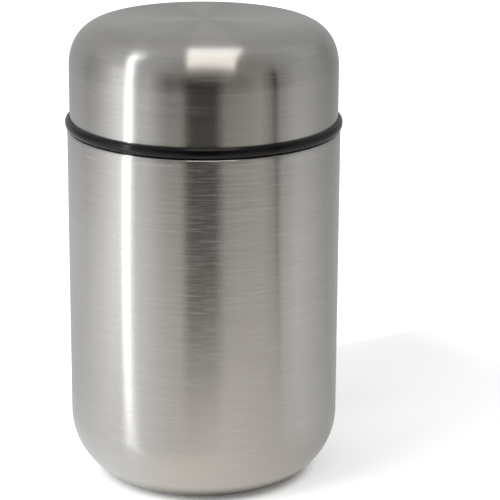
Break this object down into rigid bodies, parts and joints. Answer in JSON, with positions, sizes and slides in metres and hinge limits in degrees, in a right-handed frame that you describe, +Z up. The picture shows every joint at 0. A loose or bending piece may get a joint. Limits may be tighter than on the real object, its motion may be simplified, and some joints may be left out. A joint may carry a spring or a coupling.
{
  "type": "insulated food jar",
  "caption": "Double-walled steel food jar with a vented, insulated screw stopper and a steel cup that screws down over it; stands on a flat foot.",
  "frame": {"origin": "centre of the foot ring on the floor, under the jar's axis", "axes": "+Z up along the jar's axis; +X across it"},
  "size_m": [0.1016, 0.1016, 0.172],
  "materials": {
    "brushed_steel": "satin",
    "inner_steel": "satin",
    "spring_steel": "polished",
    "copper_foil": "satin",
    "sealing_glass": "gloss",
    "getter_metal": "matte",
    "gloss_black": "gloss",
    "matte_black": "matte",
    "grey_plastic": "satin",
    "silicone": "matte",
    "foam": "matte"
  },
  "bodies": {
    "jar": {"outer_shell": "brushed_steel", "inner_vessel": "inner_steel", "radiation_foil": "copper_foil", "base_disc": "inner_steel", "vacuum_seal": "sealing_glass", "base_cover": "brushed_steel", "getter": "getter_metal", "getter_clip": "spring_steel"},
    "stopper_seal": {"stopper_gasket": "silicone"},
    "stopper": {"stopper_cap": "matte_black", "stopper_plug": "matte_black", "stopper_foam": "foam", "button_collar": "gloss_black", "vent_spring": "spring_steel"},
    "vent": {"vent_button": "grey_plastic", "vent_stem": "matte_black", "vent_seal": "silicone"},
    "cup_ring": {"cup_rim_ring": "gloss_black"},
    "cup": {"cup_shell": "brushed_steel", "cup_liner": "inner_steel", "cup_thread_collar": "matte_black"}
  },
  "joints": [
    {"name": "stopper_lift", "type": "slide", "parent": "jar", "child": "stopper_seal", "axis": [0, 0, 1], "range_m": [0, 0.0361]},
    {"name": "stopper_turn", "type": "hinge", "parent": "stopper_seal", "child": "stopper", "pos_m": [0, 0, 0], "axis": [0, 0, 1], "range_deg": [0, 1080]},
    {"name": "vent_press", "type": "slide", "parent": "stopper", "child": "vent", "axis": [0, 0, -1], "range_m": [0, 0.002], "stiffness_N_per_m": 1200, "springref_m": -0.003, "deforming": ["vent_spring"]},
    {"name": "cup_lift", "type": "slide", "parent": "stopper", "child": "cup_ring", "axis": [0, 0, 1], "range_m": [0, 0.0401]},
    {"name": "cup_turn", "type": "hinge", "parent": "cup_ring", "child": "cup", "pos_m": [0, 0, 0], "axis": [0, 0, 1], "range_deg": [0, 1200]}
  ],
  "couplings": [
    {"joint": "stopper_lift", "follows": "stopper_turn", "m_per_rad": 0.0019099},
    {"joint": "cup_lift", "follows": "cup_turn", "m_per_rad": 0.0019099}
  ]
}
